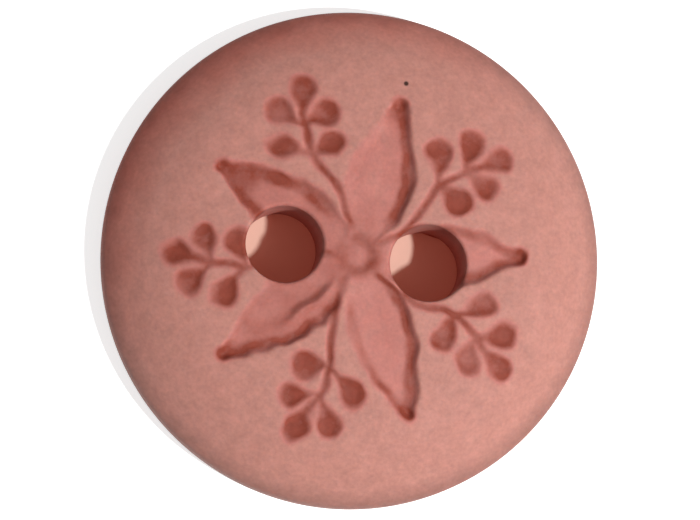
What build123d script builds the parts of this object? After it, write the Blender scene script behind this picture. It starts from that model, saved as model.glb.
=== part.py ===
from build123d import *
import os
from math import acos, asin, atan2, cos, degrees, hypot, radians, sin, sqrt, tan

# A round sewing button with two thread holes, moulded in one piece, with a
# sunk ornament of five leaves and five berry sprigs round a small boss.
# Millimetres. The origin is the middle of the flat back, +Z leaves the
# ornamented face, and the holes lie nearly along X.

# Body
button_diameter = 15.0
button_thickness = 2.8
crown_drop = 0.72
crown_margin = 0.15
side_height = 0.88
side_top_radius = 0.4
back_bevel = 0.22

# Thread holes
hole_diameter = 2.3
hole_spacing = 4.33
hole_line_angle = -7.1
hole_bevel = 0.1

# Ornament, set out round its own centre
fold_count = 5
ornament_turn = 0.5
ornament_shift = -0.09
wall_draft = 15.0

# Boss in the middle, and how far the pool round it reaches past the leaves' bases
boss_diameter = 0.8
boss_height = 0.12
pool_margin = 0.15

# Leaf, along its own axis from the ornament's centre
leaf_depth = 0.36
leaf_base_reach = 0.4
leaf_base_width = 0.84
leaf_base_flare = 32.0
leaf_widest_reach = 2.05
leaf_width = 2.0
leaf_tip_reach = 5.06
leaf_tip_width = 0.32
leaf_tip_taper = 24.0

# Pillow on the floor of each leaf, and the rib beside the crest of some of the pillows
pillow_start = 0.95
pillow_end = 4.5
pillow_width = 1.45
pillow_height = 0.15
rib_width = 0.34
rib_height = 0.1
rib_offset = 0.3
ribbed_leaves = (3,)

# Sprig between two leaves, with places as (out along its axis, left of it)
stem_width = 0.27
stem_depth = 0.12
branch_width = 0.2
stem_root = (0.7, -0.1)
stem_bend = (2.1, -0.12)
lower_fork = (3.37, 0.25)
upper_fork = (4.3, 0.15)
berry_diameter = 0.8
berry_tail = 0.7
berry_tail_width = 0.22
berry_depth = 0.17
end_berry = (5.38, -0.18)
upper_left_berry = (4.98, 0.73)
upper_right_berry = (4.5, -0.62)
lower_left_berry = (3.95, 1.12)
lower_right_berry = (3.54, -0.49)
side_branches = (
    (upper_fork, upper_left_berry),
    (upper_fork, upper_right_berry),
    (lower_fork, lower_left_berry),
    (lower_fork, lower_right_berry),
)
all_branches = ((upper_fork, end_berry),) + side_branches

# How far a cutter stands clear of the face that it cuts
cutter_lift = 0.25

# The face in section: a shallow crown arc, wide enough to carry the ornament and
# a margin round it, runs into a rounder shoulder arc, and that into a small arc
# that ends at the top of the upright side
button_radius = button_diameter / 2
berry_reach = hypot(*end_berry) + berry_diameter / 2
crown_reach = max(berry_reach, leaf_tip_reach) + abs(ornament_shift) + crown_margin
crown_radius = (crown_reach**2 + crown_drop**2) / (2 * crown_drop)
crown_centre = Vector(0, 0, button_thickness - crown_radius)
crown_edge_slope = asin(crown_reach / crown_radius)
crown_edge = Vector(crown_reach, button_thickness - crown_drop)
crown_edge_normal = Vector(sin(crown_edge_slope), cos(crown_edge_slope))
side_top_centre = Vector(button_radius - side_top_radius, side_height)
shoulder_span = crown_edge - side_top_centre
shoulder_radius = (shoulder_span.length**2 - side_top_radius**2) / (
    2 * (shoulder_span.dot(crown_edge_normal) - side_top_radius)
)
shoulder_centre = crown_edge - crown_edge_normal * shoulder_radius
shoulder_end_normal = (side_top_centre - shoulder_centre).normalized()
shoulder_end = side_top_centre + shoulder_end_normal * side_top_radius

# How far a wall leans out for each millimetre of height
draft_rate = tan(radians(wall_draft))


def face_height(reach):
    """Height of the crown above the back at a distance from the button's axis."""
    return crown_centre.Z + sqrt(crown_radius**2 - reach**2)


def face_point(place, bearing):
    """The point of the crown over a place of the ornament turned to a bearing."""
    out, left = place
    x = out * cos(bearing) - left * sin(bearing)
    y = out * sin(bearing) + left * cos(bearing) + ornament_shift
    return Vector(x, y, face_height(hypot(x, y)))


def cap_radius(width, height):
    """Radius of the arc that rises to a height over a chord of a width."""
    return ((width / 2) ** 2 + height**2) / (2 * height)


def bearing_of(fold):
    """Bearing of a leaf's axis, in radians."""
    return radians(ornament_turn + fold * 360 / fold_count)


def body():
    """The button without its ornament and holes."""
    crown = TangentArc((0, button_thickness), crown_edge, tangent=(1, 0))
    shoulder = TangentArc(crown @ 1, shoulder_end, tangent=crown % 1)
    side_round = TangentArc(shoulder @ 1, (button_radius, side_height), tangent=shoulder % 1)
    side = Line(side_round @ 1, (button_radius, back_bevel))
    bevel = Line(side @ 1, (button_radius - back_bevel, 0))
    middle = Polyline(bevel @ 1, (0, 0), crown @ 0)
    section = make_face(crown + shoulder + side_round + side + bevel + middle)
    return revolve(Plane.XZ * section, Axis.Z)


def drafted_cutter(outline, depth, plane):
    """A cutter that sinks an outline to a depth, with walls that lean outwards."""
    floor = plane * Pos(0, 0, -depth) * outline(depth * draft_rate)
    mouth = plane * Pos(0, 0, cutter_lift) * outline(-cutter_lift * draft_rate)
    return loft([floor, mouth], ruled=True)


def leaf_outline(inset):
    """A leaf that lies along X, with its sides drawn in by an inset."""
    base = (leaf_base_reach, leaf_base_width / 2 - inset)
    widest = (leaf_widest_reach, leaf_width / 2 - inset)
    tip = (leaf_tip_reach - inset, leaf_tip_width / 2 - inset)
    flare = radians(leaf_base_flare)
    taper = radians(leaf_tip_taper)
    tangents = [(cos(flare), sin(flare)), (cos(taper), -sin(taper))]
    left = Spline(base, widest, tip, tangents=tangents)
    right = mirror(left, about=Plane.XZ)
    return make_face(left + Line(left @ 1, right @ 1) + right + Line(right @ 0, left @ 0))


def leaf_plane(bearing):
    """The plane that lies on the face along a leaf, with X out along the leaf."""
    base = face_point((leaf_base_reach, 0), bearing)
    tip = face_point((leaf_tip_reach, 0), bearing)
    along = (tip - base).normalized()
    across = Vector(-sin(bearing), cos(bearing), 0)
    return Plane(origin=base - along * leaf_base_reach, x_dir=along, z_dir=along.cross(across))


def bowed_bar(radius, crest, ends):
    """A round bar along X that bows up, given its top's height in the middle and at its ends."""
    middle = (pillow_start + pillow_end) / 2
    start = (pillow_start, 0, ends - radius)
    line = ThreePointArc(start, (middle, 0, crest - radius), (pillow_end, 0, ends - radius))
    return sweep(Plane(origin=start, z_dir=line % 0) * Circle(radius), line)


def pillow():
    """The bar whose top is the pillow of a leaf; its ends dip a little under the floor."""
    crest = pillow_height - leaf_depth
    return bowed_bar(cap_radius(pillow_width, pillow_height), crest, crest - 1.2 * pillow_height)


def rib():
    """The thin bar whose top is the rib of a leaf; its ends dip under the pillow."""
    crest = pillow_height + rib_height - leaf_depth
    ends = crest - 1.2 * pillow_height - 2 * rib_height
    return Pos(0, rib_offset, 0) * bowed_bar(cap_radius(rib_width, rib_height), crest, ends)


def leaf_cutter(fold):
    """A leaf's recess, less the pillow and rib that stand in it."""
    plane = leaf_plane(bearing_of(fold))
    cutter = drafted_cutter(leaf_outline, leaf_depth, plane)
    cutter -= plane * pillow()
    if fold in ribbed_leaves:
        cutter -= plane * rib()
    return cutter


def pool_cutter():
    """The pool in the middle of the ornament, less the boss that stands in it."""
    floor_height = button_thickness - leaf_depth
    pool_radius = hypot(leaf_base_reach, leaf_base_width / 2) + pool_margin
    floor_radius = pool_radius - leaf_depth * draft_rate
    mouth_radius = pool_radius + cutter_lift * draft_rate
    from_floor = (Align.CENTER, Align.CENTER, Align.MIN)
    pool = Cone(floor_radius, mouth_radius, leaf_depth + cutter_lift, align=from_floor)
    boss_radius = cap_radius(boss_diameter, boss_height)
    boss = Pos(0, 0, boss_height - boss_radius) * Sphere(boss_radius)
    return Pos(0, ornament_shift, floor_height) * (pool - boss)


def berry_outline():
    """A drop: a round head about the origin and a narrow blunt tail out along X."""
    head = berry_diameter / 2
    tail = (berry_tail, berry_tail_width / 2)
    lean = acos(head / hypot(*tail)) + atan2(tail[1], tail[0])
    left = Line((head * cos(lean), head * sin(lean)), tail)
    right = mirror(left, about=Plane.XZ)
    round_head = ThreePointArc(left @ 0, (-head, 0), right @ 0)
    return make_face(left + Line(left @ 1, right @ 1) + right + round_head)


def berry_cutter(berry, fork, bearing):
    """A berry sunk squarely into the face, with its tail towards its fork."""
    point = face_point(berry, bearing)
    tailward = face_point(fork, bearing) - point
    plane = Plane(origin=point, x_dir=tailward, z_dir=point - crown_centre)
    return extrude(plane * Pos(0, 0, -berry_depth) * berry_outline(), berry_depth + cutter_lift)


def sprig_lines():
    """The stem and branches of a sprig, drawn flat with the sprig out along X."""
    stem = trace(Spline(stem_root, stem_bend, lower_fork, upper_fork, end_berry), stem_width)
    branches = [trace(Line(fork, berry), branch_width) for fork, berry in side_branches]
    return stem + branches


def sprig_cutters(fold):
    """A sprig's stems, whose floors lie at one depth under the crown, and its berries."""
    bearing = bearing_of(fold) + radians(180 / fold_count)
    place = Pos(0, ornament_shift, side_height) * Rot(0, 0, degrees(bearing))
    stems = place * extrude(sprig_lines(), button_thickness + cutter_lift - side_height)
    stems -= Pos(crown_centre) * Sphere(crown_radius - stem_depth)
    berries = [berry_cutter(berry, fork, bearing) for fork, berry in all_branches]
    return [stems] + berries


def hole_cutter(side):
    """A round thread hole with bevelled mouths, on one side of the middle."""
    radius = hole_diameter / 2
    wide = radius + hole_bevel + cutter_lift
    face = face_height(hole_spacing / 2)
    wall = Line((radius, hole_bevel), (radius, face - hole_bevel))
    over = Polyline(wall @ 1, (wide, face + cutter_lift), (0, face + cutter_lift))
    under = Polyline(over @ 1, (0, -cutter_lift), (wide, -cutter_lift), wall @ 0)
    cutter = revolve(Plane.XZ * make_face(wall + over + under), Axis.Z)
    return Rot(0, 0, hole_line_angle) * Pos(side * hole_spacing / 2, 0, 0) * cutter


def button():
    """The whole button as one solid."""
    leaves = [leaf_cutter(fold) for fold in range(fold_count)]
    sprigs = [cutter for fold in range(fold_count) for cutter in sprig_cutters(fold)]
    holes = [hole_cutter(side) for side in (-1, 1)]
    return body() - leaves - pool_cutter() - sprigs - holes


def main():
    os.makedirs("parts", exist_ok=True)
    export_step(button(), "parts/button.step")


main()
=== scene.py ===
from math import cos, pi, radians, sin
from typing import NamedTuple

import bpy
import numpy as np
from mathutils import Matrix, Vector
from mathutils.geometry import delaunay_2d_cdt


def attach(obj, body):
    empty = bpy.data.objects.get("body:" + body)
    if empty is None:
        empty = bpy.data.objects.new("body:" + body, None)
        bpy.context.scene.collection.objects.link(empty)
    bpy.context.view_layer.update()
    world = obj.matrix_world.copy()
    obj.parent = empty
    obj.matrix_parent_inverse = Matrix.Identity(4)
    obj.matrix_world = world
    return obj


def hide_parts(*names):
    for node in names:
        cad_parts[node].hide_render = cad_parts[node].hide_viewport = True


# A round sewing button in matte terracotta pink, lying on its back. Lengths are
# in millimetres here, and the mesh is built in metres.

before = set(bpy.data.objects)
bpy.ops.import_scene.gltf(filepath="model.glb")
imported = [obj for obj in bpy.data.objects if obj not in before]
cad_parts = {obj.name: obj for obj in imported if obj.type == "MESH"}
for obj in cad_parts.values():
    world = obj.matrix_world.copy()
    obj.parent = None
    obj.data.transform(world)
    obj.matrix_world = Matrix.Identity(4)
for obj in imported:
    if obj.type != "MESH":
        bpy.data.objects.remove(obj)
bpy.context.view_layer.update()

MM = 0.001

# Body, whose face bends by CROWN_BEND degrees for each millimetre, and by
# SHOULDER_BEND more past SHOULDER_START
BUTTON_RADIUS = 7.5
THICKNESS = 2.8
CROWN_BEND = 1.64
SHOULDER_START = 4.95
SHOULDER_BEND = 14.5
SHOULDER_EASE = 0.5
FACE_RADIUS = 7.38
BACK_BEVEL = 0.22
SIDE_ROW = 0.75

# Thread holes
HOLE_RADIUS = 1.15
HOLE_REACH = 2.165
HOLE_LINE_ANGLE = -7.1
HOLE_ROUND = 0.12
HOLE_BACK_ROUND = 0.1
# Painted shade down the holes' walls, strongest at the back
HOLE_SHADE = 0.5

# Ornament, and the unevenness that wear has given it, with patchiness in its painted shade
FOLDS = 5
ORNAMENT_TURN = 0.5
ORNAMENT_SHIFT = -0.09
ORNAMENT_REACH = 6.0
SOFTNESS = 0.05
WEAR_SEED = 5
WEAR_SHIFT = 0.035
PAINTED_SHADE_FADE = 0.14
WEAR_LENGTH = 0.2

# Pool and boss in the middle
POOL_RADIUS = 0.95
POOL_WALL = 0.7
POOL_DEPTH = 0.16
# Painted shade on the pool's floor, and in a ring round the boss that is darker towards +X
POOL_SHADE = 0.34
POOL_RING_SHADE = 0.74
BOSS_RADIUS = 0.3
BOSS_HEIGHT = 0.045
RING_RADIUS = 0.5
RING_WIDTH = 0.3
RING_LEAN = 0.05

# Leaves, along their own axes from the ornament's centre
LEAF_DEPTH = 0.23
LEAF_BASE_SHARE = 0.4
LEAF_TILT = 0.85
LEAF_RAMP = 1.6
LEAF_RAMP_START = 0.3
SIDE_RATE = 3
STEEP_WALL = 0.17
SOFT_WALL = 0.4
WALL_OUTSIDE = 0.05
LEAF_CORNER = 0.1
LEAF_BASE_REACH = 0.4
LEAF_BASE_WIDTH = 0.84
LEAF_BASE_FLARE = 32.0
LEAF_WIDEST_REACH = 2.05
LEAF_WIDTH = 2.0
LEAF_TIP_REACH = 5.06
LEAF_TIP_WIDTH = 0.32
LEAF_TIP_TAPER = 24.0
PILLOW_MIDDLE = 2.72
PILLOW_LENGTH = 3.9
PILLOW_WIDTH = 1.5
PILLOW_HEIGHT = 0.07
FOLD_START = 0.8
FOLD_END = 3.3
FOLD_RISE = 0.5
FOLD_ACROSS = 0.34
FOLD_WIDTH = 0.15
FOLD_HEIGHT = 0.17
# Painted shade along the shaded flank beside the raised fold
FOLD_SHADE_ACROSS = 0.12
FOLD_SHADE_WIDTH = 0.1
FOLD_SHADE = 0.75
WAVE_LENGTH = 0.62

# Painted shade of the leaves: bands beside the walls, a dark blot and a spot in the tip
BAND_START = 0.7
BAND_AT_WALL = 0.35
BAND_RISE = 0.15
BAND_FULL = 0.7
BAND_FADE = 0.5
TIP_SPOT_SHADE = 0.95
TIP_SPOT_RADIUS = 0.3
TIP_SPOT_INSET = 0.6
TIP_SPOT_NARROWING = 1.2
TIP_SPOT_TOP = 2.6
TIP_SPOT_FALL = 2.2
TIP_SHADE_RISE = 0.9


class Leaf(NamedTuple):
    """What sets one leaf apart: its turn and length, its painted shade, its softer side and waves."""

    turn: float
    floor_shade: float
    soft_side: float
    length: float = 1.0
    left_shade: float = 1.0
    right_shade: float = 1.0
    shade_band: float = 0.36
    tip_shade: float = 0.75
    tip_shade_start: float = 3.9
    wave: float = 0.0
    folded: bool = False


# In turn from the leaf that points right, anticlockwise
LEAVES = (
    Leaf(turn=0.3, left_shade=0.75, floor_shade=0.25, tip_shade=0.6, soft_side=0.4),
    Leaf(
        turn=1.4, length=0.98, left_shade=0.1, floor_shade=0.3, tip_shade=0.65,
        soft_side=1.0, wave=0.008,
    ),
    Leaf(
        turn=1.1, length=0.98, right_shade=0.85, shade_band=0.5, floor_shade=0.32,
        tip_shade=0.92, tip_shade_start=3.2, soft_side=-0.3, wave=0.012,
    ),
    Leaf(
        turn=0.3, length=0.995, right_shade=0.6, floor_shade=0.5, soft_side=-0.9,
        wave=0.025, folded=True,
    ),
    Leaf(turn=-0.7, right_shade=0.7, floor_shade=0.24, soft_side=-1.0, wave=0.008),
)

# Sprigs between the leaves, with places as (out along the sprig, left of it)
STEM_WIDTH = 0.26
STEM_DEPTH = 0.07
STEM_WALL = 0.17
# Painted shade in the stems' grooves
STEM_SHADE = 0.92
STEM_START = 0.75
STEM_SHADE_START = 0.45
BRANCH_WIDTH = 0.2
STEM_LOW = (0.3, -0.6)
STEM_HIGH = (5.8, 0.7)
STEM = ((0.7, -0.1), (2.1, -0.12), (3.37, 0.25), (4.3, 0.15), (5.38, -0.18))
LOWER_FORK = STEM[2]
UPPER_FORK = STEM[3]
BRANCHES = (
    (UPPER_FORK, STEM[4]),
    (UPPER_FORK, (4.98, 0.73)),
    (UPPER_FORK, (4.5, -0.62)),
    (LOWER_FORK, (3.95, 1.12)),
    (LOWER_FORK, (3.54, -0.49)),
)
BERRY_RADIUS = 0.43
BERRY_TAIL = 0.5
BERRY_TAIL_RADIUS = 0.17
BERRY_DEPTH = 0.11
BERRY_WALL = 0.34
# Painted shade all over the berries' bowls, reaching a little past their rims
BERRY_SHADE = 1.0
BERRY_SHADE_OUTSIDE = 0.09
BERRY_SHADE_EDGE = 0.26
SPRIG_TURNS = (-0.4, 1.0, 0.0, 0.0, 0.0)
SPRIG_SIZES = (0.975, 0.98, 1.0, 1.0, 1.0)

# Mesh density
MAP_STEP = 0.02
MAP_MARGIN = 0.2
DOME_STEPS = 800
POINT_STEP = 0.042
RIM_STEP = 0.08
RIM_COLUMNS = 360
HOLE_COLUMNS = 200
HOLE_ROWS = 9
HOLE_ROUND_ROWS = (0, 0.1, 0.3, 0.6, 1)
ROW_HEIGHT = 0.75**0.5
ROWS_PER_COLUMN = 1.16

# View and light
VIEW_BEARING = 225.0
VIEW_TILT = 8.0
VIEW_DISTANCE = 150.0
VIEW_WIDTH = 21.08
VIEW_TARGET_HEIGHT = 0.6
SENSOR_WIDTH = 36
LIGHT_BEARING = -30.0
LIGHT_HEIGHT = 56.5
LIGHT_DISTANCE = 400.0
LIGHT_SIZE = 20.0
LIGHT_POWER = 1.58
WORLD_LIGHT = 0.26

# Colours
FACE_COLOUR = (0.52, 0.232, 0.188)
# Painted shade in the sunk ornament: pinker where light, dark red where strong
PALE_SHADE_COLOUR = (0.515, 0.19, 0.158)
DEEP_SHADE_COLOUR = (0.275, 0.054, 0.032)
# Painted shade, darker and redder, on the rim's side away from the lamp
SHADED_SIDE_COLOUR = (0.46, 0.125, 0.09)
SPECK_COLOUR = (0.06, 0.025, 0.018)
SPECK_PLACE = (1.52, 5.15, 0.0)
SPECK_RADIUS = 0.07
SPECK_SOFTNESS = 0.3
FLOOR_COLOUR = (0.9, 0.9, 0.9)
# Under the button the floor is tinted and glows red: painted light bounced from and passed through the
# button
UNDER_BOUNCE_COLOUR = (0.66, 0.45, 0.36)
UNDER_RADIUS = 6.6
UNDER_FADE = 0.3
UNDER_GLOW = 0.08
UNDER_GLOW_COLOUR = (1.0, 0.06, 0.0)
BACKDROP_SHARE = 0.65
FLOOR_ROUGHNESS = 0.9
FLOOR_HALF = 600

# Plastic, with noises as (scale, detail, roughness) and tones as (swing, darkest)
CLOUD = (0.8, 3.0, 0.5)
FLECK = (2.3, 4.0, 0.6)
GRAIN = (7.5, 3.0, 0.5)
CLOUD_TONE = (0.08, 0.96)
FLECK_TONE = (0.44, 0.78)
GRAIN_TONE = (0.36, 0.82)
# Patchiness of the painted shade, and the share of it that only turns pinker
SHADE_PATCHES = (1.2, 0.4)
PALE_SHADE_SHARE = 0.25
RIM_WANDER = 0.4
RIM_START = 7.15
RIM_END = 7.7
RIM_SHADE = -0.35
# Where the rim's side away from the lamp gets its painted shade
SHADED_SIDE_WANDER = 0.8
SHADED_SIDE_START = 6.5
SHADED_SIDE_END = 7.7
SHADED_SIDE_TOWARDS = (-0.075, 0.11, 0)
SHADED_SIDE_SPREAD = (0.1, 0.8)
ROUGHNESS = 0.65
SPECULAR = 0.25
SUBSURFACE = 0.35
SUBSURFACE_RADIUS = (1.0, 0.35, 0.2)
SUBSURFACE_DEPTH = 0.18
BUMP_DEPTH = 0.006


def softened(grid, spread):
    """A grid blurred with a bell-shaped weight of a spread in grid steps."""
    shifts = np.arange(-int(3 * spread), int(3 * spread) + 1)
    weights = np.exp(-0.5 * (shifts / spread) ** 2)
    for axis in (0, 1):
        grid = sum(weight * np.roll(grid, shift, axis) for weight, shift in zip(weights, shifts))
    return grid / weights.sum() ** 2


def smooth_step(value):
    """0 below 0 and 1 above 1, with an S-shaped rise between."""
    value = np.clip(value, 0, 1)
    return value * value * (3 - 2 * value)


def unit(bearing):
    """The flat direction of a bearing in degrees."""
    return cos(radians(bearing)), sin(radians(bearing))


def path_tangents(points, chords, ends):
    """Tangents of the smooth curve through points, for set or for free ends."""
    count = len(points)
    matrix = np.zeros((count, count))
    target = np.zeros((count, 2))
    for i in range(1, count - 1):
        before, after = chords[i - 1], chords[i]
        matrix[i, i - 1 : i + 2] = (after, 2 * (before + after), before)
        target[i] = 3 * after / before * (points[i] - points[i - 1])
        target[i] += 3 * before / after * (points[i + 1] - points[i])
    if ends:
        matrix[0, 0] = matrix[-1, -1] = 1
        target[0], target[-1] = ends
    else:
        matrix[0, :2] = (2, 1)
        matrix[-1, -2:] = (1, 2)
        target[0] = 3 * (points[1] - points[0]) / chords[0]
        target[-1] = 3 * (points[-1] - points[-2]) / chords[-1]
    return np.linalg.solve(matrix, target)


def smooth_path(points, ends=None, steps=14):
    """A smooth curve through points, as a close row of points."""
    points = np.array(points, float)
    chords = np.linalg.norm(np.diff(points, axis=0), axis=1)
    tangents = path_tangents(points, chords, ends)
    u = np.linspace(0, 1, steps + 1)[:-1, None]
    rows = []
    for i, chord in enumerate(chords):
        start = (2 * u**3 - 3 * u**2 + 1) * points[i] + (u**3 - 2 * u**2 + u) * chord * tangents[i]
        end = (3 * u**2 - 2 * u**3) * points[i + 1] + (u**3 - u**2) * chord * tangents[i + 1]
        rows.append(start + end)
    return np.vstack(rows + [points[-1:]])


def distance_to_line(x, y, line):
    """Distance from places to a line through points."""
    best = np.full(x.shape, 1e9)
    for (ax, ay), (bx, by) in zip(line[:-1], line[1:]):
        dx, dy = bx - ax, by - ay
        t = np.clip(((x - ax) * dx + (y - ay) * dy) / (dx * dx + dy * dy), 0, 1)
        best = np.minimum(best, (x - ax - t * dx) ** 2 + (y - ay - t * dy) ** 2)
    return np.sqrt(best)


def inside_outline(x, y, outline):
    """How far places lie inside a closed outline, with less than 0 outside it."""
    closed = np.vstack([outline, outline[:1]])
    inside = np.zeros(x.shape, bool)
    for (ax, ay), (bx, by) in zip(closed[:-1], closed[1:]):
        if ay != by:
            crossing = ax + (y - ay) * (bx - ax) / (by - ay)
            inside ^= ((ay > y) != (by > y)) & (x < crossing)
    distance = distance_to_line(x, y, closed)
    return np.where(inside, distance, -distance)


def inside_drop(x, y, head, tail, length):
    """How far places lie inside a drop: a round head at 0 and a smaller tail out along X."""
    lean = (head - tail) / length
    run = (1 - lean * lean) ** 0.5
    along = run * x - lean * np.abs(y)
    flank = head - run * np.abs(y) - lean * x
    head_end = head - np.hypot(x, y)
    tail_end = tail - np.hypot(x - length, y)
    return np.where(along < 0, head_end, np.where(along > run * length, tail_end, flank))


def wander(count, random):
    """A square grid of smoothly wandering values of about 1 in size."""
    grid = softened(random.standard_normal((count, count)), WEAR_LENGTH / MAP_STEP)
    return grid / grid.std()


def worn(maps, axis):
    """The maps with the small unevenness of a worn mould, and the painted shade made patchy."""
    random = np.random.default_rng(WEAR_SEED)
    x, y = np.meshgrid(axis, axis)
    x += WEAR_SHIFT * wander(len(axis), random)
    y += WEAR_SHIFT * wander(len(axis), random)
    depth, painted_shade = (sample(grid, axis, x, y) for grid in maps)
    return depth, painted_shade * (1 + PAINTED_SHADE_FADE * wander(len(axis), random))


def leaf_outline():
    """A leaf drawn in by the radius of its corners, with the leaf out along X."""
    inset = LEAF_CORNER
    base = (LEAF_BASE_REACH + inset, LEAF_BASE_WIDTH / 2 - inset)
    widest = (LEAF_WIDEST_REACH, LEAF_WIDTH / 2 - inset)
    tip = (LEAF_TIP_REACH - inset, LEAF_TIP_WIDTH / 2 - inset)
    left = smooth_path((base, widest, tip), (unit(LEAF_BASE_FLARE), unit(-LEAF_TIP_TAPER)))
    return np.vstack([left, left[::-1] * (1, -1)])


def leaf_shape(along, across, leaf):
    """Depth and painted shade of a leaf's recess, with its pillowed floor."""
    along = along / leaf.length
    inside = inside_outline(along, across, LEAF_SHAPE) + LEAF_CORNER
    inside += leaf.wave * np.sin(along * 2 * pi / WAVE_LENGTH)
    bow = np.clip(1 - ((along - PILLOW_MIDDLE) * 2 / PILLOW_LENGTH) ** 2, 0, 1)
    floor = LEAF_DEPTH - PILLOW_HEIGHT * bow * np.clip(1 - (across * 2 / PILLOW_WIDTH) ** 2, 0, 1)
    floor *= LEAF_BASE_SHARE + (1 - LEAF_BASE_SHARE) * smooth_step(along / LEAF_RAMP - LEAF_RAMP_START)
    floor *= 1 - LEAF_TILT * np.clip(leaf.soft_side * across / (LEAF_WIDTH / 2), 0, 1)
    fold_flank_shade = 0
    if leaf.folded:
        ends = smooth_step((along - FOLD_START) / FOLD_RISE) * smooth_step(FOLD_END - along)
        floor -= FOLD_HEIGHT * ends * bump(across - FOLD_ACROSS, FOLD_WIDTH)
        # Painted shade along the fold's shaded flank
        fold_flank_shade = FOLD_SHADE * ends * bump(across - FOLD_SHADE_ACROSS, FOLD_SHADE_WIDTH)
    side = np.clip(across * SIDE_RATE, -1, 1)
    wall = STEEP_WALL + (SOFT_WALL - STEEP_WALL) * np.clip(side * leaf.soft_side, 0, 1)
    depth = floor * smooth_step((inside + WALL_OUTSIDE) / wall)
    return depth, np.maximum(leaf_shade(along, across, inside, side, leaf), fold_flank_shade)


def leaf_shade(along, across, inside, side, leaf):
    """Painted shade of a leaf: bands beside its walls, a blot in its tip and a tinge on its floor."""
    share = (1 + side) / 2
    band = BAND_AT_WALL + (1 - BAND_AT_WALL) * smooth_step(inside / BAND_RISE)
    band *= 1 - smooth_step((inside / leaf.shade_band - BAND_FULL) / BAND_FADE)
    # Each side's painted shade is set to where the shade falls beside that wall
    strength = leaf.left_shade * share + leaf.right_shade * (1 - share)
    band *= strength * smooth_step(along - BAND_START)
    blot = leaf.tip_shade * smooth_step((along - leaf.tip_shade_start) / TIP_SHADE_RISE)
    painted_shade = np.maximum(np.maximum(band, blot), leaf.floor_shade) * edge_step(inside)
    past_spot = along - LEAF_TIP_REACH + TIP_SPOT_RADIUS * TIP_SPOT_INSET
    from_spot = np.hypot(past_spot, across * TIP_SPOT_NARROWING)
    spot = smooth_step(TIP_SPOT_TOP - TIP_SPOT_FALL * from_spot / TIP_SPOT_RADIUS)
    return np.maximum(painted_shade, TIP_SPOT_SHADE * spot)


def edge_step(inside):
    """The rise of painted shade from 0 outside a shape to 1 inside it."""
    return smooth_step((inside + WALL_OUTSIDE) / (2 * WALL_OUTSIDE + SOFTNESS))


def bump(distance, width):
    """A bell-shaped rise to 1 at no distance."""
    return np.exp(-((distance / width) ** 2))


def pool_shape(x, y):
    """Depth and painted shade of the round pool, with the boss that stands in it."""
    reach = np.hypot(x, y)
    inside = POOL_RADIUS - reach
    depth = (POOL_DEPTH - BOSS_HEIGHT * bump(reach, BOSS_RADIUS)) * smooth_step(inside / POOL_WALL)
    ring = (POOL_RING_SHADE + RING_LEAN * x) * bump(reach - RING_RADIUS, RING_WIDTH)
    return depth, np.maximum(ring, POOL_SHADE * smooth_step(inside / POOL_WALL))


def groove_shape(x, y, line, width):
    """Depth and painted shade of a groove along a line."""
    inside = width / 2 - distance_to_line(x, y, line)
    reach = np.hypot(x, y)
    start = smooth_step((reach - STEM_START) / STEM_START)
    shade_start = smooth_step((reach - STEM_SHADE_START) / STEM_SHADE_START)
    depth = STEM_DEPTH * smooth_step((inside + WALL_OUTSIDE) / STEM_WALL)
    return depth * start, STEM_SHADE * edge_step(inside) * shade_start


def berry_shape(x, y, berry, fork):
    """Depth and painted shade of a bowl-shaped berry, whose tail points at its fork."""
    dx, dy = x - berry[0], y - berry[1]
    tailward = np.subtract(fork, berry)
    tailward = tailward / np.hypot(*tailward)
    along = dx * tailward[0] + dy * tailward[1]
    across = dy * tailward[0] - dx * tailward[1]
    inside = inside_drop(along, across, BERRY_RADIUS, BERRY_TAIL_RADIUS, BERRY_TAIL)
    depth = BERRY_DEPTH * smooth_step((inside + WALL_OUTSIDE) / BERRY_WALL)
    return depth, BERRY_SHADE * smooth_step((inside + BERRY_SHADE_OUTSIDE) / BERRY_SHADE_EDGE)


def sink(maps, axis, bearing, low, high, shape):
    """Sinks a shape into the maps, inside a box of places turned to a bearing."""
    out_x, out_y = unit(bearing)
    corners = [(a, b) for a in (low[0], high[0]) for b in (low[1], high[1])]
    xs = [a * out_x - b * out_y for a, b in corners]
    ys = [a * out_y + b * out_x + ORNAMENT_SHIFT for a, b in corners]
    columns = slice(*np.searchsorted(axis, (min(xs), max(xs))))
    rows = slice(*np.searchsorted(axis, (min(ys), max(ys))))
    x, y = np.meshgrid(axis[columns], axis[rows] - ORNAMENT_SHIFT)
    values = shape(x * out_x + y * out_y, y * out_x - x * out_y)
    for grid, value in zip(maps, values):
        grid[rows, columns] = np.maximum(grid[rows, columns], value)


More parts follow.
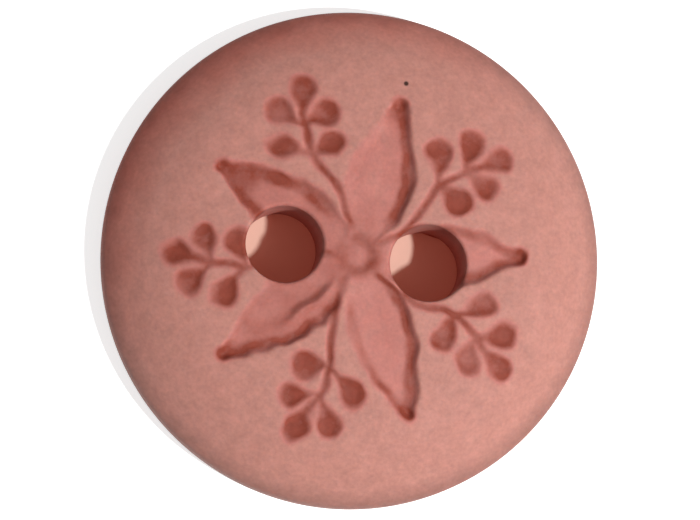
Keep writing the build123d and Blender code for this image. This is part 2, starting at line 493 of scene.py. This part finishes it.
def make_maps(axis):
    """Depth and painted shade of the ornament, over a square grid of places."""
    maps = np.zeros((2, len(axis), len(axis)))
    pool_room = POOL_RADIUS + STEEP_WALL
    sink(maps, axis, 0, (-pool_room, -pool_room), (pool_room, pool_room), pool_shape)
    leaf_room = LEAF_WIDTH / 2 + STEEP_WALL
    for fold, leaf in enumerate(LEAVES):
        bearing = ORNAMENT_TURN + fold * 360 / FOLDS
        low, high = (0, -leaf_room), (LEAF_TIP_REACH + STEEP_WALL, leaf_room)
        sink(maps, axis, bearing + leaf.turn, low, high, lambda x, y: leaf_shape(x, y, leaf))
        bearing += 180 / FOLDS + SPRIG_TURNS[fold]
        size = SPRIG_SIZES[fold]
        stem = smooth_path(STEM) * size
        low, high = STEM_LOW, STEM_HIGH
        sink(maps, axis, bearing, low, high, lambda x, y: groove_shape(x, y, stem, STEM_WIDTH))
        for fork, berry in np.array(BRANCHES) * size:
            room = BERRY_RADIUS + STEM_WALL
            low = (min(fork[0], berry[0]) - room, min(fork[1], berry[1]) - room)
            high = (max(fork[0], berry[0]) + room, max(fork[1], berry[1]) + room)
            branch = np.array([fork, berry])
            sink(maps, axis, bearing, low, high, lambda x, y: groove_shape(x, y, branch, BRANCH_WIDTH))
            sink(maps, axis, bearing, low, high, lambda x, y: berry_shape(x, y, berry, fork))
    return worn([softened(grid, SOFTNESS / MAP_STEP) for grid in maps], axis)


def sample(grid, axis, x, y):
    """Values of a grid at places, read between its points."""
    u = np.clip((x - axis[0]) / MAP_STEP, 0, len(axis) - 1.001)
    v = np.clip((y - axis[0]) / MAP_STEP, 0, len(axis) - 1.001)
    i, j = u.astype(int), v.astype(int)
    u, v = u - i, v - j
    low = grid[j, i] * (1 - u) + grid[j, i + 1] * u
    high = grid[j + 1, i] * (1 - u) + grid[j + 1, i + 1] * u
    return low * (1 - v) + high * v


def dome_slope(reach):
    """Steepness of the plain face at a distance from the axis."""
    past = reach - SHOULDER_START
    eased = (past + np.sqrt(past * past + SHOULDER_EASE**2)) / 2
    at_middle = (-SHOULDER_START + (SHOULDER_START**2 + SHOULDER_EASE**2) ** 0.5) / 2
    return np.tan(np.radians(CROWN_BEND * reach + SHOULDER_BEND * (eased - at_middle)))


def make_dome():
    """Distances from the axis and the plain face's height at each."""
    reach = np.linspace(0, FACE_RADIUS, DOME_STEPS)
    slope = dome_slope(reach)
    falls = (slope[1:] + slope[:-1]) / 2 * np.diff(reach)
    return reach, THICKNESS - np.append(0, np.cumsum(falls))


def hole_centre(side):
    """Centre of a thread hole on one side of the middle."""
    x, y = unit(HOLE_LINE_ANGLE)
    return side * HOLE_REACH * x, side * HOLE_REACH * y


def ring(centre, radius, columns):
    """Places round a circle."""
    angle = np.arange(columns) * 2 * pi / columns
    return np.c_[centre[0] + radius * np.cos(angle), centre[1] + radius * np.sin(angle)]


def close_ring(first, columns):
    """The edges of a closed row of points that starts at an index."""
    return [(first + i, first + (i + 1) % columns) for i in range(columns)]


def triangles(points, edges):
    """Triangles between points, with the edges kept and the thread holes left open."""
    flat = [Vector((float(x), float(y))) for x, y in points]
    _, _, faces, origins, _, _ = delaunay_2d_cdt(flat, edges, [], 0, 1e-6)
    source = np.array([origin[0] for origin in origins])
    faces = source[np.array(faces)]
    middle = points[faces].mean(axis=1)
    keep = np.ones(len(faces), bool)
    for side in (-1, 1):
        x, y = hole_centre(side)
        keep &= np.hypot(middle[:, 0] - x, middle[:, 1] - y) > HOLE_RADIUS * 0.999
    return faces[keep]


def face_points():
    """Places for the mesh of the face, and the edges round its rim and its holes."""
    count = int(2 * ORNAMENT_REACH / POINT_STEP)
    rows, columns = np.mgrid[0 : int(count * ROWS_PER_COLUMN), 0:count]
    x = (columns + 0.5 * (rows % 2)) * POINT_STEP - ORNAMENT_REACH
    y = rows * POINT_STEP * ROW_HEIGHT - ORNAMENT_REACH
    keep = np.hypot(x, y) < ORNAMENT_REACH
    hole_rings = []
    for side in (-1, 1):
        centre = hole_centre(side)
        keep &= np.hypot(x - centre[0], y - centre[1]) > HOLE_RADIUS + HOLE_ROUND + POINT_STEP / 2
        for part in HOLE_ROUND_ROWS:
            hole_rings.append(ring(centre, HOLE_RADIUS + part * HOLE_ROUND, HOLE_COLUMNS))
    rim_count = int((FACE_RADIUS - ORNAMENT_REACH) / RIM_STEP)
    radii = np.linspace(FACE_RADIUS, ORNAMENT_REACH + RIM_STEP / 2, rim_count)
    rim_rings = [ring((0, 0), radius, RIM_COLUMNS) for radius in radii]
    points = np.vstack(rim_rings[:1] + hole_rings + rim_rings[1:] + [np.c_[x[keep], y[keep]]])
    first_holes = [RIM_COLUMNS, RIM_COLUMNS + len(HOLE_ROUND_ROWS) * HOLE_COLUMNS]
    edges = close_ring(0, RIM_COLUMNS)
    for first in first_holes:
        edges += close_ring(first, HOLE_COLUMNS)
    return points, edges, first_holes


def face_surface(points):
    """Heights, normals and painted shade at places of the face."""
    axis = np.arange(-ORNAMENT_REACH - MAP_MARGIN, ORNAMENT_REACH + MAP_MARGIN, MAP_STEP)
    relief, painted_shade = make_maps(axis)
    fall_y, fall_x = np.gradient(relief, MAP_STEP)
    x, y = points.T
    reach = np.hypot(x, y)
    height = np.interp(reach, *make_dome()) - sample(relief, axis, x, y)
    slope = dome_slope(reach) / np.maximum(reach, 1e-6)
    tilt_x = slope * x + sample(fall_x, axis, x, y)
    tilt_y = slope * y + sample(fall_y, axis, x, y)
    for side in (-1, 1):
        dx, dy = x - hole_centre(side)[0], y - hole_centre(side)[1]
        distance = np.hypot(dx, dy)
        left = np.clip(1 - (distance - HOLE_RADIUS) / HOLE_ROUND, 0, 0.9999)
        root = np.sqrt(1 - left * left)
        height -= HOLE_ROUND * (1 - root)
        tilt_x -= left / root * dx / distance
        tilt_y -= left / root * dy / distance
    normals = np.c_[tilt_x, tilt_y, np.ones(len(x))]
    normals /= np.linalg.norm(normals, axis=1)[:, None]
    return height, normals, sample(painted_shade, axis, x, y)


def bridge(upper, lower):
    """Faces between two closed rows of points that run the same way, seen from outside."""
    return [
        (upper[i], lower[i], lower[(i + 1) % len(lower)], upper[(i + 1) % len(upper)])
        for i in range(len(upper))
    ]


def rim_profile():
    """Rows of the side from under the face to the back, as (radius, height, out, up)."""
    start = np.arctan(dome_slope(np.array([FACE_RADIUS])))[0]
    radius = (BUTTON_RADIUS - FACE_RADIUS) / (1 - sin(start))
    top = make_dome()[1][-1] - radius * cos(start)
    rows = []
    for part in (0.2, 0.4, 0.6, 0.8, 1):
        angle = start + (pi / 2 - start) * part
        away = BUTTON_RADIUS - radius + radius * sin(angle)
        rows.append((away, top + radius * cos(angle), sin(angle), cos(angle)))
    middle = top * SIDE_ROW + BACK_BEVEL * (1 - SIDE_ROW)
    rows += [(BUTTON_RADIUS, height, 1, 0) for height in (middle, BACK_BEVEL)]
    for part in (0.25, 0.5, 0.75, 1):
        angle = pi / 2 * part
        away = BUTTON_RADIUS - BACK_BEVEL * (1 - cos(angle))
        rows.append((away, BACK_BEVEL * (1 - sin(angle)), cos(angle), -sin(angle)))
    return rows


def add_rim(rows, faces, first):
    """Adds the side's rows of points; returns the row at the back."""
    upper = list(range(RIM_COLUMNS))
    circle = ring((0, 0), 1, RIM_COLUMNS)
    for radius, height, out, up in rim_profile():
        heights = np.full(RIM_COLUMNS, height)
        flat = np.zeros(RIM_COLUMNS)
        rows.append((circle * radius, heights, np.c_[circle * out, flat + up], flat))
        lower = list(range(first, first + RIM_COLUMNS))
        faces += bridge(upper, lower)
        upper, first = lower, first + RIM_COLUMNS
    return upper, first


def add_hole(rows, faces, first, side, rim, rim_heights, rim_painted_shades):
    """Adds the wall of a thread hole under its rim; returns the row at the back."""
    upper = list(range(rim, rim + HOLE_COLUMNS))
    circle = ring((0, 0), 1, HOLE_COLUMNS)
    steps = [(HOLE_RADIUS, part, 0) for part in np.linspace(0, 1, HOLE_ROWS)[1:]]
    steps += [(HOLE_RADIUS, 1, angle) for angle in (30, 60, 90)]
    for radius, part, angle in steps:
        out, up = -unit(angle)[0], -unit(angle)[1]
        away = radius + HOLE_BACK_ROUND * (1 + out)
        low = HOLE_BACK_ROUND * (1 + up)
        heights = rim_heights * (1 - part) + low * part
        places = circle * away + hole_centre(side)
        normals = np.c_[circle * out, np.full(HOLE_COLUMNS, up)]
        # Painted shade on the hole's wall, rising towards the back
        painted_shades = np.maximum(rim_painted_shades * (1 - part), HOLE_SHADE * part)
        rows.append((places, heights, normals, painted_shades))
        lower = list(range(first, first + HOLE_COLUMNS))
        faces += bridge(lower, upper)
        upper, first = lower, first + HOLE_COLUMNS
    return upper, first


def add_back(rows, faces, rings):
    """Closes the back between the rim and the holes."""
    index = np.concatenate(rings)
    places = np.vstack([row[0] for row in rows])[index]
    edges, first = [], 0
    for row in rings:
        edges += close_ring(first, len(row))
        first += len(row)
    faces += [tuple(index[face][::-1]) for face in triangles(places, edges)]


def button_mesh():
    """The whole button as a closed mesh."""
    places, edges, first_holes = face_points()
    heights, normals, painted_shades = face_surface(places)
    rows = [(places, heights, normals, painted_shades)]
    faces = [tuple(face) for face in triangles(places, edges)]
    back, first = add_rim(rows, faces, len(places))
    rings = [back]
    for side, rim in zip((-1, 1), first_holes):
        span = slice(rim, rim + HOLE_COLUMNS)
        back, first = add_hole(rows, faces, first, side, rim, heights[span], painted_shades[span])
        rings.append(back)
    add_back(rows, faces, rings)
    places, heights, normals, painted_shades = (np.concatenate(part) for part in zip(*rows))
    mesh = bpy.data.meshes.new("button")
    corners = (np.c_[places, heights] * MM).tolist()
    mesh.from_pydata(corners, [], [[int(i) for i in face] for face in faces])
    mesh.polygons.foreach_set("use_smooth", [True] * len(mesh.polygons))
    # The painted shade of the sunk ornament and the holes goes on as a point attribute
    mesh.attributes.new("painted_shade", "FLOAT", "POINT").data.foreach_set("value", painted_shades)
    mesh.normals_split_custom_set_from_vertices(normals.tolist())
    return mesh


class Nodes:
    """Short words for building a material's node tree."""

    def __init__(self, name):
        self.material = bpy.data.materials.new(name)
        self.material.use_nodes = True
        self.tree = self.material.node_tree
        self.shader = self.tree.nodes["Principled BSDF"]

    def add(self, kind, values=(), **settings):
        """A node with its settings and its inputs, where an input is a value or a socket."""
        node = self.tree.nodes.new(kind)
        for key, value in settings.items():
            setattr(node, key, value)
        for key, value in dict(values).items():
            self.put(node.inputs[key], value)
        return node

    def put(self, socket, value):
        """Gives an input a value, or links it to another node's socket."""
        if isinstance(value, bpy.types.NodeSocket):
            self.tree.links.new(value, socket)
        else:
            socket.default_value = value

    def math(self, operation, *values):
        """The result of a sum on numbers."""
        node = self.add("ShaderNodeMath", enumerate(values), operation=operation)
        return node.outputs[0]

    def mix(self, factor, a, b, blend="MIX"):
        """One colour mixed into another."""
        values = {0: factor, 6: a, 7: b}
        node = self.add("ShaderNodeMix", values, data_type="RGBA", blend_type=blend)
        return node.outputs[2]

    def scaled(self, vector, factor):
        """A vector times a number."""
        values = {0: vector, 3: factor}
        return self.add("ShaderNodeVectorMath", values, operation="SCALE").outputs[0]

    def ramp(self, value, start, end):
        """The rise from 0 to 1 as a value goes from a start to an end."""
        return self.add("ShaderNodeMapRange", {0: value, 1: start, 2: end}).outputs[0]

    def noise(self, place, scale, detail, roughness):
        """A noise value from 0 to 1."""
        values = {"Vector": place, "Scale": scale, "Detail": detail, "Roughness": roughness}
        return self.add("ShaderNodeTexNoise", values).outputs[0]


def plastic():
    """The button's matte plastic, with painted shade in the sunk ornament and on the rim's side away
    from the lamp.
    """
    n = Nodes("button_plastic")
    object_place = n.add("ShaderNodeTexCoord").outputs["Object"]
    place = n.scaled(object_place, 1 / MM)
    flat = n.add("ShaderNodeVectorMath", {0: place, 1: (1, 1, 0)}, operation="MULTIPLY").outputs[0]
    reach = n.add("ShaderNodeVectorMath", {0: flat}, operation="LENGTH").outputs["Value"]
    dot = n.add("ShaderNodeVectorMath", {0: flat, 1: SHADED_SIDE_TOWARDS}, operation="DOT_PRODUCT")
    cloud = n.noise(place, *CLOUD)
    rim = n.math("ADD", reach, n.math("MULTIPLY", cloud, RIM_WANDER))
    rim = n.ramp(rim, RIM_START, RIM_END)
    fleck = n.noise(place, *FLECK)
    grain = n.noise(place, *GRAIN)
    # Painted shade on the outer face, on the side away from the lamp
    shaded_side = n.math("ADD", reach, n.math("MULTIPLY", cloud, SHADED_SIDE_WANDER))
    shaded_side = n.ramp(shaded_side, SHADED_SIDE_START, SHADED_SIDE_END)
    shaded_side = n.math("MULTIPLY", shaded_side, n.ramp(dot.outputs["Value"], *SHADED_SIDE_SPREAD))
    # Painted shade in the sunk ornament: pinker where light, dark red where strong, patchy with the
    # fleck
    painted_shade = n.add("ShaderNodeAttribute", attribute_name="painted_shade").outputs["Fac"]
    patchy = n.math("MULTIPLY", painted_shade, n.math("MULTIPLY_ADD", fleck, *SHADE_PATCHES))
    colour = n.mix(n.ramp(patchy, 0.0, PALE_SHADE_SHARE), (*FACE_COLOUR, 1), (*PALE_SHADE_COLOUR, 1))
    colour = n.mix(n.ramp(patchy, PALE_SHADE_SHARE, 1.0), colour, (*DEEP_SHADE_COLOUR, 1))
    colour = n.mix(shaded_side, colour, (*SHADED_SIDE_COLOUR, 1))
    from_speck = n.add("ShaderNodeVectorMath", {0: flat, 1: SPECK_PLACE}, operation="DISTANCE")
    outer, inner = SPECK_RADIUS * (1 + SPECK_SOFTNESS), SPECK_RADIUS * (1 - SPECK_SOFTNESS)
    colour = n.mix(n.ramp(from_speck.outputs["Value"], outer, inner), colour, (*SPECK_COLOUR, 1))
    tone = n.math("MULTIPLY_ADD", cloud, *CLOUD_TONE)
    tone = n.math("MULTIPLY", tone, n.math("MULTIPLY_ADD", rim, RIM_SHADE, 1.0))
    tone = n.math("MULTIPLY", tone, n.math("MULTIPLY_ADD", fleck, *FLECK_TONE))
    tone = n.math("MULTIPLY", tone, n.math("MULTIPLY_ADD", grain, *GRAIN_TONE))
    grey = n.add("ShaderNodeCombineColor", {0: tone, 1: tone, 2: tone}).outputs[0]
    n.put(n.shader.inputs["Base Color"], n.mix(1.0, colour, grey, "MULTIPLY"))
    n.put(n.shader.inputs["Roughness"], ROUGHNESS)
    n.put(n.shader.inputs["Specular IOR Level"], SPECULAR)
    n.put(n.shader.inputs["Subsurface Weight"], SUBSURFACE)
    n.put(n.shader.inputs["Subsurface Radius"], SUBSURFACE_RADIUS)
    n.put(n.shader.inputs["Subsurface Scale"], SUBSURFACE_DEPTH * MM)
    unevenness = n.math("ADD", grain, fleck)
    bump_values = {"Strength": 1.0, "Distance": BUMP_DEPTH * MM, "Height": unevenness}
    n.put(n.shader.inputs["Normal"], n.add("ShaderNodeBump", bump_values).outputs[0])
    return n.material


def pale_floor():
    """A pale floor that shows its shadow lightly, with painted red bounce light and a painted red glow
    where the button covers it.
    """
    n = Nodes("floor")
    place = n.scaled(n.add("ShaderNodeTexCoord").outputs["Object"], 1 / MM)
    reach = n.add("ShaderNodeVectorMath", {0: place}, operation="LENGTH").outputs["Value"]
    open_floor = n.ramp(reach, UNDER_RADIUS, UNDER_RADIUS + UNDER_FADE)
    rays = n.add("ShaderNodeLightPath").outputs
    seen = n.math("MAXIMUM", rays["Is Camera Ray"], rays["Is Glossy Ray"])
    seen = n.math("MAXIMUM", seen, rays["Is Transmission Ray"])
    share = n.math("MULTIPLY", n.math("MULTIPLY", seen, open_floor), BACKDROP_SHARE)
    n.put(n.shader.inputs["Base Color"], n.mix(open_floor, (*UNDER_BOUNCE_COLOUR, 1), (*FLOOR_COLOUR, 1)))
    n.put(n.shader.inputs["Roughness"], FLOOR_ROUGHNESS)
    # Painted red glow and bounce light on the floor under the button
    glow = n.mix(open_floor, (*UNDER_GLOW_COLOUR, 1), (1, 1, 1, 1))
    under = n.math("MULTIPLY", n.math("SUBTRACT", 1.0, open_floor), UNDER_GLOW)
    n.put(n.shader.inputs["Emission Color"], glow)
    n.put(n.shader.inputs["Emission Strength"], n.math("ADD", share, under))
    return n.material


def add_object(name, data):
    """An object in the scene's collection."""
    obj = bpy.data.objects.new(name, data)
    bpy.context.scene.collection.objects.link(obj)
    return obj


def add_floor():
    """The pale floor that the button lies on."""
    half = FLOOR_HALF * MM
    mesh = bpy.data.meshes.new("floor")
    corners = [(-half, -half, 0), (half, -half, 0), (half, half, 0), (-half, half, 0)]
    mesh.from_pydata(corners, [], [(0, 1, 2, 3)])
    mesh.materials.append(pale_floor())
    floor = add_object("floor", mesh)


def direction(bearing, height):
    """The direction towards a bearing and a height above the horizon, both in degrees."""
    out = cos(radians(height))
    return Vector((*(out * part for part in unit(bearing)), sin(radians(height))))


def add_light():
    """One soft lamp, with a little light from all round."""
    lamp = bpy.data.lights.new("key", "AREA")
    lamp.shape = "DISK"
    lamp.size = LIGHT_SIZE * MM
    lamp.energy = LIGHT_POWER
    towards = direction(LIGHT_BEARING, LIGHT_HEIGHT)
    obj = add_object("key", lamp)
    obj.location = towards * LIGHT_DISTANCE * MM
    obj.rotation_mode = "QUATERNION"
    obj.rotation_quaternion = (-towards).to_track_quat("-Z", "Y")
    world = bpy.data.worlds.new("world")
    world.use_nodes = True
    background = world.node_tree.nodes["Background"]
    background.inputs["Color"].default_value = (1, 1, 1, 1)
    background.inputs["Strength"].default_value = WORLD_LIGHT
    bpy.context.scene.world = world


def add_camera():
    """The camera, which looks down with a slight lean and has +Y up the picture."""
    target = Vector((0, 0, VIEW_TARGET_HEIGHT * MM))
    back = direction(VIEW_BEARING, 90 - VIEW_TILT)
    right = Vector((0, 1, 0)).cross(back).normalized()
    axes = Matrix((right, back.cross(right), back)).transposed()
    camera = add_object("camera", bpy.data.cameras.new("camera"))
    camera.data.sensor_width = SENSOR_WIDTH
    camera.data.lens = SENSOR_WIDTH * VIEW_DISTANCE / VIEW_WIDTH
    camera.data.clip_start = 0.01
    camera.data.clip_end = 10
    camera.matrix_world = Matrix.Translation(target + back * VIEW_DISTANCE * MM) @ axes.to_4x4()
    bpy.context.scene.camera = camera


LEAF_SHAPE = leaf_outline()

button = add_object("button_relief", button_mesh())
button.data.materials.append(plastic())
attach(button, "root")
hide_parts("button")

add_floor()
add_light()
add_camera()
bpy.context.scene.view_settings.view_transform = "Standard"
